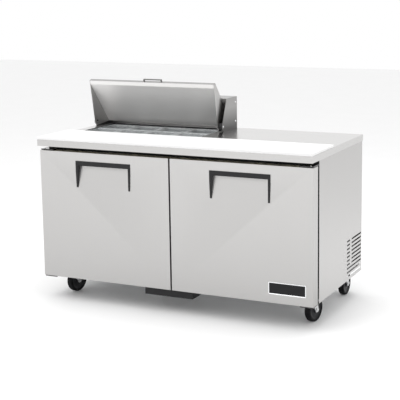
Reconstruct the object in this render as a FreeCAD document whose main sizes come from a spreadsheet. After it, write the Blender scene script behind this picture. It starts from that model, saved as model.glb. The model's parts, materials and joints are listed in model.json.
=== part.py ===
"""A two-door refrigerated sandwich prep table: cabinet, worktop, pans, hood, lid and castors.

The frame has its origin on the floor under the centre of the worktop. +X is to the user's right,
+Y is to the back and +Z is up. The lid is modelled open and the doors closed. Lengths are in millimetres.
"""
import FreeCAD, Part
import math
import os
import re
import Sketcher
from FreeCAD import Rotation, Vector

# Driving dimensions. Each one is a cell of the sheet, and every piece below is bound to those cells.
SIZES = {
    # overall
    "overall_width": 1534.0, "overall_depth": 766.0, "cabinet_height": 737.0, "worktop_edge": 34.0,
    "worktop_sheet": 1.5, "panel_sheet": 1.2,
    # cutting board
    "board_depth": 299.0, "board_thick": 13.0, "board_edge": 2.0,
    # cabinet and its walls
    "cabinet_inset": 3.0, "back_inset": 3.0, "wall_thick": 50.0, "wall_play": 2.0, "frame_thick": 20.0,
    "frame_rise": 33.0, "opening_rise": 95.0, "mullion_width": 60.0, "back_wall": 53.0, "ceiling_foam": 10.0,
    "liner_sheet": 1.5, "liner_play": 1.0,
    # machine space at the back right, and its louvres
    "machine_width": 467.0, "machine_depth": 253.0, "machine_rise": 186.0,
    "louvre_front_inset": 243.0, "louvre_back_inset": 13.0, "louvre_rise": 17.0, "louvre_pitch": 20.8,
    "louvre_height": 9.0, "louvre_count": 10.0, "louvre_whole": 3.0, "louvre_short": 46.0, "louvre_gap": 28.0,
    "grille_count": 6.0, "grille_low_inset": 40.0, "grille_side_inset": 60.0,
    # base
    "base_recess": 32.0, "rail_height": 25.0, "rail_width": 105.0, "rail_inset": 6.0, "cross_rail": 60.0,
    "floor_sheet": 2.0, "tray_left": 175.0, "tray_right": 100.0, "tray_front_inset": 61.0, "tray_depth": 117.0,
    "tray_height": 44.0, "tray_hang": 35.0, "tray_wall": 2.0, "strap_width": 25.0, "strap_inset": 10.0,
    # doors
    "door_set_back": 20.0, "door_thick": 62.0, "door_gap": 9.0, "door_rise": 2.0, "door_top_drop": 59.0,
    "door_sheet": 1.2, "gasket_thick": 17.0, "gasket_play": 2.0, "gasket_width": 18.0, "gasket_inset": 30.0,
    "gasket_centre": 3.5, "gasket_low": 76.0, "gasket_top": 22.0, "hinge_inset": 18.0, "hinge_set_back": 15.0,
    "hinge_pin": 5.0, "hinge_play": 0.3, "hinge_plate": 5.0, "hinge_plate_gap": 2.0, "hinge_plate_long": 72.0,
    "hinge_reach": 20.0, "panel_raise": 8.0, "panel_border": 60.0,
    # door pulls
    "pull_width": 304.0, "pull_drop": 119.0, "pull_height": 121.0, "pull_depth": 21.0, "pull_floor": 15.0,
    "trim_side": 10.0, "trim_below": 2.0, "trim_above": 16.0, "trim_leg": 3.0, "trim_bar": 20.0,
    "trim_proud": 3.0, "trim_lining": 3.0, "trim_lip": 9.0,
    # pan opening, well and pans
    "opening_side_inset": 52.0, "opening_back_inset": 48.0, "pan_margin": 3.25, "duct_slot": 36.5,
    "duct_inset": 60.0, "well_sheet": 3.0, "well_clear": 16.0, "ledge_width": 8.0, "ledge_thick": 3.0,
    "pan_drop": 3.0, "pan_length": 176.0, "pan_width": 162.0, "pan_depth": 100.0, "pan_rim": 12.0,
    "pan_rim_thick": 3.0, "pan_wall": 2.5, "pan_taper": 9.0, "pan_play": 1.5, "bar_width": 16.0,
    "bar_height": 10.0,
    # hood
    "hood_side_inset": 3.0, "hood_overhang": 38.0, "hood_height": 177.0, "hood_top_depth": 136.0,
    "hood_nose_depth": 199.0, "hood_foot_depth": 181.0, "hood_sheet": 1.5,
    # lid
    "lid_gap_left": 5.5, "lid_gap_right": 19.5, "pivot_depth": 183.0, "pivot_rise": 28.0, "lid_overlap": 15.0,
    "lid_seat": 25.5, "lid_lip": 18.0, "lid_nose": 2.0, "lid_band": 23.0, "lid_ridge": 25.0, "lid_rear": 38.0,
    "lid_sheet": 2.0, "lid_open": 80.0, "pivot_pin": 4.0, "pivot_disc": 20.0, "pivot_reach": 7.0,
    "grip_width": 112.0, "grip_offset": 13.0, "grip_proud": 14.0, "grip_thick": 5.0, "grip_height": 12.0,
    "grip_rise": 3.0,
    # castors
    "castor_side_inset": 77.0, "castor_front_inset": 168.0, "castor_back_inset": 102.0, "castor_toe": 11.0,
    "castor_trail": 38.0, "plate_length": 100.0, "plate_width": 84.0, "plate_thick": 6.0, "wheel_radius": 63.5,
    "wheel_width": 32.0, "tyre_round": 5.0, "tyre_wall": 15.0, "dish_depth": 4.0, "hub_radius": 20.0,
    "axle_radius": 6.0, "axle_play": 0.3, "fork_gap": 3.0, "fork_sheet": 4.0, "fork_width": 44.0,
    "crown_radius": 30.0, "crown_high": 14.0, "swivel_play": 0.5, "pedal_rise": 38.0, "pedal_tuck": 3.5,
    "pedal_long": 26.0, "pedal_sheet": 3.0, "pedal_height": 13.0,
    # shelves
    "shelf_rise": 178.0, "shelf_pitch": 165.0, "shelf_depth": 400.0, "shelf_margin": 6.0, "shelf_frame": 3.5,
    "shelf_wire": 2.0, "shelf_wires": 16.0, "standard_width": 20.0, "standard_thick": 2.0,
    # evaporator
    "coil_width": 360.0, "coil_side_inset": 77.0, "coil_depth": 211.0, "coil_height": 145.0, "coil_sheet": 1.5,
    "fan_radius": 58.0, "fan_hub": 14.0, "fan_thick": 12.0, "fan_play": 4.0, "control_size": 60.0,
    "knob_radius": 14.0, "knob_thick": 12.0,
    # condensing unit
    "unit_plate": 6.0, "compressor_place": 245.0, "compressor_back": 98.0, "compressor_radius": 72.0,
    "compressor_rise": 45.0, "compressor_high": 122.0, "condenser_inset": 67.0, "condenser_thick": 38.0,
    "condenser_width": 185.0, "condenser_drop": 75.0, "pipe_radius": 4.0,
}

# Places that follow from those sizes. A formula may use any name in it, and each is worked out by the sheet.
PLACES = {
    "side_low": "2 * wheel_radius",
    "worktop_height": "side_low + cabinet_height",
    "base_low": "side_low + base_recess",
    "frame_front": "overall_depth / 2 - door_set_back - door_thick - gasket_thick - gasket_play",
    "frame_low": "side_low + frame_rise",
    "opening_low": "side_low + opening_rise",
    "interior_back": "overall_depth / 2 - back_wall",
    "interior_ceiling": "well_low - ceiling_foam",
    "machine_left": "overall_width / 2 - machine_width",
    "machine_front": "overall_depth / 2 - machine_depth",
    "machine_top": "base_low + machine_rise",
    "louvre_front": "overall_depth / 2 - louvre_front_inset",
    "louvre_back": "overall_depth / 2 - louvre_back_inset",
    "louvre_low": "side_low + louvre_rise",
    "tray_front": "overall_depth / 2 - tray_front_inset",
    "tray_back": "tray_front - tray_depth",
    "tray_top": "base_low - tray_hang",
    "tray_low": "tray_top - tray_height",
    "door_low": "side_low + door_rise",
    "pull_high": "worktop_height - pull_drop",
    "pull_low": "pull_high - pull_height",
    "trim_width": "pull_width + 2 * trim_side",
    "trim_low": "pull_low - trim_below",
    "trim_high": "pull_high + trim_above",
    "opening_left": "overall_width / 2 - opening_side_inset",
    "opening_right": "4 * (pan_length + pan_play) - pan_play + 2 * pan_margin - opening_left",
    "opening_rear": "overall_depth / 2 - opening_back_inset",
    "opening_front": "2 * (pan_width + pan_play) + pan_play + duct_slot - opening_rear",
    "well_low": "worktop_height - pan_drop - pan_depth - well_clear",
    "hood_left": "overall_width / 2 - hood_side_inset",
    "hood_right": "opening_right + hood_overhang",
    "hood_front": "overall_depth / 2 - hood_top_depth",
    "hood_nose": "overall_depth / 2 - hood_nose_depth",
    "hood_foot": "overall_depth / 2 - hood_foot_depth",
    "lid_left": "hood_left - hood_sheet - lid_gap_left",
    "lid_right": "hood_right - hood_sheet - lid_gap_right",
    "pivot_y": "overall_depth / 2 - pivot_depth",
    "lid_reach": "pivot_y + opening_front + lid_overlap",
    "grip_centre": "(lid_left - lid_right) / 2 - grip_offset",
    "castor_x": "overall_width / 2 - castor_side_inset",
    "castor_front": "overall_depth / 2 - castor_front_inset",
    "castor_rear": "overall_depth / 2 - castor_back_inset",
    "pedal_reach": "wheel_radius - pedal_tuck",
    "shelf_low": "opening_low + shelf_rise",
    "coil_right": "overall_width / 2 - coil_side_inset",
    "coil_left": "coil_right - coil_width",
    "coil_front": "overall_depth / 2 - coil_depth",
    "coil_low": "interior_ceiling - coil_height",
    "compressor_x": "machine_left + compressor_place",
    "compressor_y": "overall_depth / 2 - compressor_back",
    "compressor_low": "base_low + compressor_rise",
    "condenser_x": "overall_width / 2 - condenser_inset",
}

doc = FreeCAD.newDocument("sandwich_prep_table")
sheet = doc.addObject("Spreadsheet::Sheet", "Sizes")
for row, (alias, value) in enumerate(SIZES.items(), start=1):
    sheet.set(f"A{row}", alias.replace("_", " "))
    sheet.set(f"B{row}", str(value))
    sheet.setAlias(f"B{row}", alias)
doc.recompute()

ALIASES = re.compile(r"\b(" + "|".join(SIZES) + r")\b")
PLACE_NAMES = re.compile(r"\b(" + "|".join(PLACES) + r")\b")
NODES = {}
probe = doc.addObject("App::FeaturePython", "Probe")
probe.addProperty("App::PropertyFloat", "Value")


# ---- helpers: each makes one object whose sizes are bound to the sheet ----

def bound(formula):
    """The formula with each place written out, and each size's name turned into its cell of the sheet."""
    formula = str(formula)
    while PLACE_NAMES.search(formula):
        formula = PLACE_NAMES.sub(lambda found: f"({PLACES[found.group(1)]})", formula)
    return ALIASES.sub(r"Sizes.\1", formula)


def size(formula):
    """A formula's value now, for the pieces whose count or outline depends on it."""
    probe.setExpression("Value", bound(formula))
    probe.recompute()
    return float(probe.Value)


def node(name, piece):
    """Name the piece as a finished sub-part, which names its file."""
    piece.Label = name
    NODES[name] = piece
    return piece


def put(piece, x=0, y=0, z=0):
    """Bind the piece's place."""
    for axis, formula in (("x", x), ("y", y), ("z", z)):
        piece.setExpression(f"Placement.Base.{axis}", bound(formula))
    return piece


def box(name, x, y, z):
    """A block. x, y and z are each a pair of formulas, low and high."""
    piece = doc.addObject("Part::Box", name)
    for side, (low, high) in (("Length", x), ("Width", y), ("Height", z)):
        piece.setExpression(side, bound(f"({high}) - ({low})"))
    return put(piece, x[0], y[0], z[0])


TURNS = {"x": Rotation(Vector(0, 1, 0), 90), "y": Rotation(Vector(1, 0, 0), -90), "z": Rotation()}


def rod(name, axis, radius, length, x=0, y=0, z=0):
    """A cylinder that starts at x, y, z and runs along +axis."""
    piece = doc.addObject("Part::Cylinder", name)
    piece.Placement = FreeCAD.Placement(Vector(), TURNS[axis])
    piece.setExpression("Radius", bound(radius))
    piece.setExpression("Height", bound(length))
    return put(piece, x, y, z)


def fuse(name, *pieces):
    """The pieces welded into one."""
    piece = doc.addObject("Part::MultiFuse", name)
    piece.Shapes = list(pieces)
    return piece


def cut(name, base, *tools):
    """The base with the tools taken away."""
    piece = doc.addObject("Part::Cut", name)
    piece.Base = base
    piece.Tool = tools[0] if len(tools) == 1 else fuse(name + "_tools", *tools)
    return piece


def group(name, *pieces):
    """Separate solids that share one node."""
    piece = doc.addObject("Part::Compound", name)
    piece.Links = list(pieces)
    return piece


def section(name, points, length, plane="YZ_Plane"):
    """A PartDesign pad: a closed outline of straight edges, each corner bound to the sheet.

    On the YZ plane the outline's first axis is Y, its second is Z and the pad runs along +X.
    """
    body = doc.addObject("PartDesign::Body", name)
    outline = body.newObject("Sketcher::SketchObject", name + "_outline")
    support = next(item for item in body.Origin.OriginFeatures if item.Role == plane)
    outline.AttachmentSupport = [(support, "")]
    outline.MapMode = "FlatFace"
    count = len(points)
    start = [Vector(100 * math.cos(2 * math.pi * i / count), 100 * math.sin(2 * math.pi * i / count), 0)
             for i in range(count)]
    for i in range(count):
        outline.addGeometry(Part.LineSegment(start[i], start[(i + 1) % count]), False)
    for i in range(count):
        outline.addConstraint(Sketcher.Constraint("Coincident", i, 2, (i + 1) % count, 1))
    for i, (across, up) in enumerate(points):
        for kind, here, formula in (("DistanceX", start[i].x, across), ("DistanceY", start[i].y, up)):
            index = outline.addConstraint(Sketcher.Constraint(kind, -1, 1, i, 1, here))
            outline.setExpression(f"Constraints[{index}]", bound(formula))
    pad = body.newObject("PartDesign::Pad", name + "_pad")
    pad.Profile = outline
    pad.setExpression("Length", bound(length))
    return body


# ---- places that several pieces share, as formulas ----

HALF_W = "(overall_width / 2)"
HALF_D = "(overall_depth / 2)"
TOP = "worktop_height"
EDGE_LOW = "(worktop_height - worktop_edge)"
SIDE_X = f"({HALF_W} - cabinet_inset)"
SIDE_IN = f"({SIDE_X} - panel_sheet)"
BACK_Y = f"({HALF_D} - back_inset)"
LINER_X = f"({SIDE_X} - wall_thick - wall_play)"
FRAME_BACK = "(frame_thick - frame_front)"
DOOR_FACE = f"(door_set_back - {HALF_D})"
DOOR_BACK = f"({DOOR_FACE} + door_thick)"
DOOR_HIGH = "(worktop_height - door_top_drop)"
HINGE_X = f"({SIDE_X} - hinge_inset)"
HINGE_Y = f"({DOOR_FACE} + hinge_set_back)"
FLOOR_HIGH = "(base_low + rail_height + floor_sheet)"
PIVOT_Z = "(worktop_height + pivot_rise)"
HOOD_HIGH = "(worktop_height + hood_height)"


# ---- worktop and cutting board ----

def worktop():
    """A folded steel top, open underneath, with the pan opening cut through it."""
    outer = box("top_block", (f"-{HALF_W}", HALF_W), (f"-{HALF_D}", HALF_D), (EDGE_LOW, TOP))
    inner = box("top_hollow", (f"worktop_sheet - {HALF_W}", f"{HALF_W} - worktop_sheet"),
                (f"worktop_sheet - {HALF_D}", f"{HALF_D} - worktop_sheet"),
                (f"{EDGE_LOW} - 1", f"{TOP} - worktop_sheet"))
    hole = box("top_opening", ("-opening_left", "opening_right"), ("-opening_front", "opening_rear"),
               (f"{EDGE_LOW} - 2", f"{TOP} + 1"))
    node("worktop", cut("worktop", outer, inner, hole))


def cutting_board():
    """A full-length white board on the front of the worktop, with eased edges."""
    slab = box("board_slab", (f"-{HALF_W}", HALF_W), (f"-{HALF_D}", f"board_depth - {HALF_D}"),
               (TOP, f"{TOP} + board_thick"))
    doc.recompute()
    eased = doc.addObject("Part::Fillet", "cutting_board")
    eased.Base = slab
    radius = min(size("board_edge"), size("board_thick") / 3)
    eased.Edges = [(i + 1, radius, radius) for i in range(len(slab.Shape.Edges))]
    node("cutting_board", eased)


# ---- cabinet ----

def louvres(name, x, y, z_first, count):
    """A column of slots, evenly spaced upwards."""
    return [box(f"{name}_{i}", x, y, (f"{z_first} + {i} * louvre_pitch",
                                      f"{z_first} + {i} * louvre_pitch + louvre_height"))
            for i in range(count)]


def side_panels():
    """Two steel sides. The right one has louvres beside the machine space."""
    depth = ("panel_sheet - frame_front", BACK_Y)
    height = ("side_low", EDGE_LOW)
    node("side_panel_left", box("side_panel_left", (f"-{SIDE_X}", f"-{SIDE_IN}"), depth, height))
    plain = box("side_right_plain", (SIDE_IN, SIDE_X), depth, height)
    across = (f"{SIDE_IN} - 1", f"{SIDE_X} + 1")
    whole, count = int(size("louvre_whole")), int(size("louvre_count"))
    split_low = "louvre_low + louvre_whole * louvre_pitch"
    slots = [*louvres("side_slot_whole", across, ("louvre_front", "louvre_back"), "louvre_low", whole),
             *louvres("side_slot_front", across, ("louvre_front", "louvre_front + louvre_short"), split_low,
                      count - whole),
             *louvres("side_slot_back", across, ("louvre_front + louvre_short + louvre_gap", "louvre_back"),
                      split_low, count - whole)]
    node("side_panel_right", cut("side_panel_right", plain, *slots))


def back_panel():
    """The steel back, with a grille behind the machine space."""
    plain = box("back_plain", (f"-{SIDE_IN}", SIDE_IN), (f"{BACK_Y} - panel_sheet", BACK_Y),
                (FLOOR_HIGH, EDGE_LOW))
    slots = louvres("back_slot", ("machine_left + grille_low_inset", f"{SIDE_IN} - grille_side_inset"),
                    (f"{BACK_Y} - panel_sheet - 1", f"{BACK_Y} + 1"), "louvre_low + louvre_whole * louvre_pitch",
                    int(size("grille_count")))
    node("back_panel", cut("back_panel", plain, *slots))


def interior(name, grow):
    """The cabinet's inside, grown by a sheet's thickness, with the step over the machine space."""
    room = box(name + "_room", (f"-{LINER_X} - {grow}", f"{LINER_X} + {grow}"),
               (f"{FRAME_BACK}", f"interior_back + {grow}"), (f"opening_low - {grow}", f"interior_ceiling + {grow}"))
    step = box(name + "_step", (f"machine_left - wall_thick / 2 + {grow}", f"{LINER_X} + 20"),
               (f"machine_front - wall_thick / 2 + {grow}", "interior_back + 20"),
               ("opening_low - 20", f"machine_top + wall_thick / 2 - {grow}"))
    return cut(name, room, step)


def air_duct(name):
    """The slot that lets cold air rise from the cabinet into the back of the pan well."""
    return box(name, ("duct_inset - opening_left", "opening_right - duct_inset"), ("opening_rear - 30", "interior_back - 6"),
               ("interior_ceiling - 5", "well_low + well_sheet + 5"))


def liner_and_insulation():
    """The inner box, and the foam between it and the outer panels."""
    node("cabinet_liner", cut("cabinet_liner", interior("liner_outside", "liner_sheet"),
                              interior("liner_inside", "0"), air_duct("duct_in_liner")))
    block = box("foam_block", (f"-{SIDE_IN}", SIDE_IN), (FRAME_BACK, f"{BACK_Y} - panel_sheet"),
                (FLOOR_HIGH, EDGE_LOW))
    machine = box("foam_machine_space", ("machine_left", f"{SIDE_X} + 5"), ("machine_front", f"{BACK_Y} + 5"),
                  (f"{FLOOR_HIGH} - 5", "machine_top"))
    well = box("foam_well_space", ("-opening_left - well_sheet", "opening_right + well_sheet"),
               ("-opening_front - well_sheet", "opening_rear + well_sheet"), ("well_low", f"{EDGE_LOW} + 5"))
    cabinet = cut("cabinet_foam", block, interior("foam_inside", "liner_sheet"), machine, well,
                  air_duct("duct_in_foam"))
    slab = box("top_foam_slab", (f"-{SIDE_X}", SIDE_X), ("-frame_front", BACK_Y),
               (EDGE_LOW, f"{TOP} - worktop_sheet"))
    hole = box("top_foam_hole", ("-opening_left - well_sheet", "opening_right + well_sheet"),
               ("-opening_front - well_sheet", "opening_rear + well_sheet"), (f"{EDGE_LOW} - 5", f"{TOP} + 5"))
    node("insulation", group("insulation", cabinet, cut("top_foam", slab, hole)))


def front_frame():
    """The dark frame that the door gaskets close on, with its centre mullion."""
    plate = box("frame_plate", (f"-{SIDE_IN}", SIDE_IN), ("-frame_front", FRAME_BACK), ("frame_low", EDGE_LOW))
    windows = [box(f"frame_window_{side}", (low, high), ("-frame_front - 1", f"{FRAME_BACK} + 1"),
                   ("opening_low", "interior_ceiling"))
               for side, low, high in (("left", f"-{LINER_X}", "-mullion_width / 2"),
                                       ("right", "mullion_width / 2", LINER_X))]
    rebate = box("frame_floor_rebate", (f"-{SIDE_IN} - 1", f"{SIDE_IN} + 1"), (f"{FRAME_BACK} - 6", f"{FRAME_BACK} + 1"),
                 ("frame_low - 1", FLOOR_HIGH))
    node("front_frame", cut("front_frame", plate, *windows, rebate))


def base_frame():
    """The welded base: two rails for the castors, two cross rails and the floor sheet."""
    rail_x = f"({SIDE_IN} - rail_inset)"
    rails = [box("rail_left", (f"-{rail_x}", f"rail_width - {rail_x}"), (FRAME_BACK, f"{BACK_Y} - rail_inset"),
                 ("base_low", "base_low + rail_height")),
             box("rail_right", (f"{rail_x} - rail_width", rail_x), (FRAME_BACK, f"{BACK_Y} - rail_inset"),
                 ("base_low", "base_low + rail_height")),
             box("rail_front", (f"-{rail_x}", rail_x), (FRAME_BACK, f"{FRAME_BACK} + cross_rail"),
                 ("base_low", "base_low + rail_height")),
             box("rail_back", (f"-{rail_x}", rail_x), (f"{BACK_Y} - rail_inset - cross_rail", f"{BACK_Y} - rail_inset"),
                 ("base_low", "base_low + rail_height")),
             box("floor_sheet", (f"-{SIDE_IN}", SIDE_IN), (FRAME_BACK, f"{BACK_Y}"),
                 ("base_low + rail_height", FLOOR_HIGH))]
    node("base_frame", fuse("base_frame", *rails))


def condensate_tray():
    """The dark tray under the middle of the base, hung on two straps."""
    outer = box("tray_block", ("-tray_left", "tray_right"), ("-tray_front", "-tray_back"), ("tray_low", "tray_top"))
    inner = box("tray_hollow", ("tray_wall - tray_left", "tray_right - tray_wall"),
                ("tray_wall - tray_front", "-tray_back - tray_wall"), ("tray_low + tray_wall", "tray_top + 1"))
    pan = cut("tray_pan", outer, inner)
    straps = [box(f"tray_strap_{side}", (low, f"{low} + strap_width"), ("-tray_back - tray_wall", "-tray_back"),
                  ("tray_top - 5", "base_low"))
              for side, low in (("left", "strap_inset - tray_left"), ("right", "tray_right - strap_inset - strap_width"))]
    node("condensate_tray", fuse("condensate_tray", pan, *straps))


# ---- pan well, rails and pans ----

PAN_TOP = f"({TOP} - pan_drop)"
LEDGE_TOP = f"({PAN_TOP} - pan_rim_thick)"
PITCH_X = "(pan_length + pan_play)"
PITCH_Y = "(pan_width + pan_play)"
PANS_LEFT = "(pan_margin - opening_left)"


def well_liner():
    """The moulded well under the pan opening, with a ledge for the pan rims."""
    span_x = ("-opening_left - well_sheet", "opening_right + well_sheet")
    span_y = ("-opening_front - well_sheet", "opening_rear + well_sheet")
    outer = box("well_block", span_x, span_y, ("well_low", f"{TOP} - worktop_sheet"))
    inner = box("well_hollow", ("-opening_left", "opening_right"), ("-opening_front", "opening_rear"),
                ("well_low + well_sheet", f"{TOP} + 1"))
    ledge = box("well_ledge", ("-opening_left - 1", "opening_right + 1"), ("-opening_front - 1", "opening_rear + 1"),
                (f"{LEDGE_TOP} - ledge_thick", LEDGE_TOP))
    mouth = box("well_mouth", ("-opening_left + ledge_width", "opening_right - ledge_width"),
                ("-opening_front + ledge_width", "opening_rear - ledge_width"),
                (f"{LEDGE_TOP} - ledge_thick - 1", f"{LEDGE_TOP} + 1"))
    tub = cut("well_tub", outer, inner, air_duct("duct_in_well"))
    node("well_liner", fuse("well_liner", tub, cut("well_ledge_ring", ledge, mouth)))


def pan_rails():
    """The bars between the pans: two long ones and three short ones in each row."""
    bars = []
    for i, row in enumerate((1, 2)):
        centre = f"(-opening_front + {row} * {PITCH_Y} + pan_play / 2)"
        bars.append(box(f"long_bar_{i}", ("-opening_left + ledge_width", "opening_right - ledge_width"),
                        (f"{centre} - bar_width / 2", f"{centre} + bar_width / 2"),
                        (f"{LEDGE_TOP} - bar_height", LEDGE_TOP)))
    for row in range(2):
        for column in range(1, 4):
            centre = f"({PANS_LEFT} + {column} * {PITCH_X} - pan_play / 2)"
            front = f"(-opening_front + {row} * {PITCH_Y} + pan_play / 2 + bar_width / 2)"
            low = front if row else "(-opening_front + ledge_width)"
            high = f"(-opening_front + {row + 1} * {PITCH_Y} + pan_play / 2 - bar_width / 2)"
            bars.append(box(f"short_bar_{row}_{column}", (f"{centre} - bar_width / 2", f"{centre} + bar_width / 2"),
                            (low, high), (f"{LEDGE_TOP} - bar_height", LEDGE_TOP)))
    node("pan_rails", group("pan_rails", *bars))


def wedge(name, wide, deep, tall, narrow):
    """A tapered block centred on the vertical axis, upright on its small end."""
    piece = doc.addObject("Part::Wedge", name)
    for prop, formula in (("Xmin", f"-({wide}) / 2 + {narrow}"), ("Xmax", f"({wide}) / 2 - {narrow}"),
                          ("Ymin", "0"), ("Ymax", tall),
                          ("Zmin", f"-({deep}) / 2 + {narrow}"), ("Zmax", f"({deep}) / 2 - {narrow}"),
                          ("X2min", f"-({wide}) / 2"), ("X2max", f"({wide}) / 2"),
                          ("Z2min", f"-({deep}) / 2"), ("Z2max", f"({deep}) / 2")):
        piece.setExpression(prop, bound(formula))
    piece.Placement = FreeCAD.Placement(Vector(), Rotation(Vector(1, 0, 0), 90))
    return piece


def food_pan(name, x, y):
    """One sixth-size pan: a tapered tub with a flat rim, resting on the ledge and the bars."""
    body_x = "(pan_length - 2 * pan_rim)"
    body_y = "(pan_width - 2 * pan_rim)"
    outer = put(wedge(name + "_outside", body_x, body_y, "pan_depth", "pan_taper"), x, y,
                f"{PAN_TOP} - pan_depth")
    inner = put(wedge(name + "_inside", f"{body_x} - 2 * pan_wall", f"{body_y} - 2 * pan_wall", "pan_depth", "pan_taper"),
                x, y, f"{PAN_TOP} - pan_depth + pan_wall")
    rim = box(name + "_rim", (f"{x} - pan_length / 2", f"{x} + pan_length / 2"),
              (f"{y} - pan_width / 2", f"{y} + pan_width / 2"), (LEDGE_TOP, PAN_TOP))
    node(name, cut(name, fuse(name + "_body", outer, rim), inner))


def food_pans():
    """Two rows of four pans, numbered from the left, the front row first."""
    for number in range(8):
        row, column = divmod(number, 4)
        food_pan(f"food_pan_{number + 1}", f"({PANS_LEFT} + {column} * {PITCH_X} + pan_length / 2)",
                 f"(-opening_front + {row} * {PITCH_Y} + pan_play + pan_width / 2)")


# ---- hood ----

def hood():
    """The hood over the back of the pans: a folded back and top, two sides and the lid's pivot blocks."""
    span_x = ("-hood_left", "hood_right")
    back = box("hood_back", span_x, (f"{HALF_D} - hood_sheet", HALF_D), (TOP, HOOD_HIGH))
    top = box("hood_top", span_x, ("hood_front", HALF_D), (f"{HOOD_HIGH} - hood_sheet", HOOD_HIGH))
    node("hood_cover", fuse("hood_cover", back, top))
    outline = [("hood_foot", TOP), (f"{HALF_D} - hood_sheet", TOP),
               (f"{HALF_D} - hood_sheet", f"{HOOD_HIGH} - hood_sheet"), ("hood_front", f"{HOOD_HIGH} - hood_sheet"),
               ("hood_nose", PIVOT_Z), ("hood_nose + 2", f"{PIVOT_Z} - 12")]
    right = put(section("hood_side_right", outline, "hood_sheet"), "hood_right - hood_sheet")
    left = put(section("hood_side_left", outline, "hood_sheet"), "-hood_left")
    node("hood_sides", group("hood_sides", left, right))
    right_block = fuse("pivot_right",
                       rod("pivot_disc_right", "x", "pivot_disc", "hood_right - hood_sheet - lid_right - 1",
                           "lid_right + 1", "pivot_y", PIVOT_Z),
                       rod("pivot_pin_right", "x", "pivot_pin", "hood_right - hood_sheet - lid_right + pivot_reach",
                           "lid_right - pivot_reach", "pivot_y", PIVOT_Z))
    left_block = fuse("pivot_left",
                      rod("pivot_disc_left", "x", "pivot_disc", "hood_left - hood_sheet - lid_left - 1",
                          "hood_sheet - hood_left", "pivot_y", PIVOT_Z),
                      rod("pivot_pin_left", "x", "pivot_pin", "hood_left - hood_sheet - lid_left + pivot_reach",
                          "hood_sheet - hood_left", "pivot_y", PIVOT_Z))
    node("hood_pivots", group("hood_pivots", left_block, right_block))


# ---- lid, drawn closed about its pivot and then turned open ----

LIP_TOP = "(lid_lip - lid_seat)"
RIDGE_Z = "(hood_height - pivot_rise)"
LID_SLOPE = f"(({RIDGE_Z} - {LIP_TOP}) / (lid_ridge + lid_reach + lid_nose))"
LINER_END = f"({LID_SLOPE} * (lid_rear - lid_sheet + lid_reach - lid_band) - lid_seat)"
SKIN_CORNERS = [("lid_sheet - lid_reach", f"{LIP_TOP} - lid_sheet / 2"), ("lid_ridge + lid_sheet / 2", f"{RIDGE_Z} - lid_sheet"),
                ("lid_rear - lid_sheet", f"{RIDGE_Z} - lid_sheet")]


def open_lid(piece, x="0"):
    """Put a piece that was drawn about the pivot at the pivot, turned to the open position."""
    piece.Placement = FreeCAD.Placement(Vector(), Rotation(Vector(1, 0, 0), 1))
    piece.setExpression("Placement.Rotation.Angle", bound("-lid_open * 1 deg"))
    return put(piece, x, "pivot_y", PIVOT_Z)


def lid():
    """The wedge-shaped lid: a steel skin with end walls, an insulated liner and a pull."""
    folded = section("lid_slope", [("-lid_reach", "-lid_seat"), ("-lid_reach - lid_nose", LIP_TOP), ("lid_ridge", RIDGE_Z),
                                   ("lid_rear", RIDGE_Z), ("lid_rear", LINER_END), ("lid_rear - lid_sheet", LINER_END),
                                   *SKIN_CORNERS[::-1], ("lid_sheet - lid_reach", "-lid_seat")],
                     "lid_left + lid_right")
    open_lid(folded, "-lid_left")
    wall = [("-lid_reach", "-lid_seat"), ("0", "-lid_seat"), ("0.7 * lid_seat", "-0.7 * lid_seat"), ("lid_seat", "0"),
            ("lid_rear", LINER_END), ("lid_rear", RIDGE_Z), ("lid_ridge", RIDGE_Z), ("-lid_reach - lid_nose", LIP_TOP)]
    ends = [open_lid(section("lid_end_left", wall, "lid_sheet"), "-lid_left"),
            open_lid(section("lid_end_right", wall, "lid_sheet"), "lid_right - lid_sheet")]
    bore = rod("lid_pivot_bore", "x", "pivot_pin + hinge_play", "lid_left + lid_right + 2", "-lid_left - 1",
               "pivot_y", PIVOT_Z)
    node("lid_skin", cut("lid_skin", fuse("lid_shell", folded, *ends), bore))
    liner = section("lid_liner", [("lid_sheet - lid_reach", "-lid_seat"), ("lid_band - lid_reach", "-lid_seat"),
                                  ("lid_rear - lid_sheet", LINER_END), *SKIN_CORNERS[::-1]],
                    "lid_left + lid_right - 2 * lid_sheet")
    node("lid_liner", open_lid(liner, "lid_sheet - lid_left"))
    pull_x = ("-grip_width / 2", "grip_width / 2")
    front = "(-lid_reach - lid_nose / 2 - grip_proud)"
    grip = cut("pull_bar",
               box("pull_bar_block", pull_x, (front, "-lid_reach - lid_nose / 2"), ("grip_rise - lid_seat", "grip_rise - lid_seat + grip_height")),
               box("pull_bar_gap", ("-grip_width / 2 + grip_thick", "grip_width / 2 - grip_thick"),
                   (f"{front} + grip_thick", "0"), ("-lid_seat", "grip_height - lid_seat + 6")))
    node("lid_handle", open_lid(grip, "-grip_centre"))


# ---- doors ----

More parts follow.
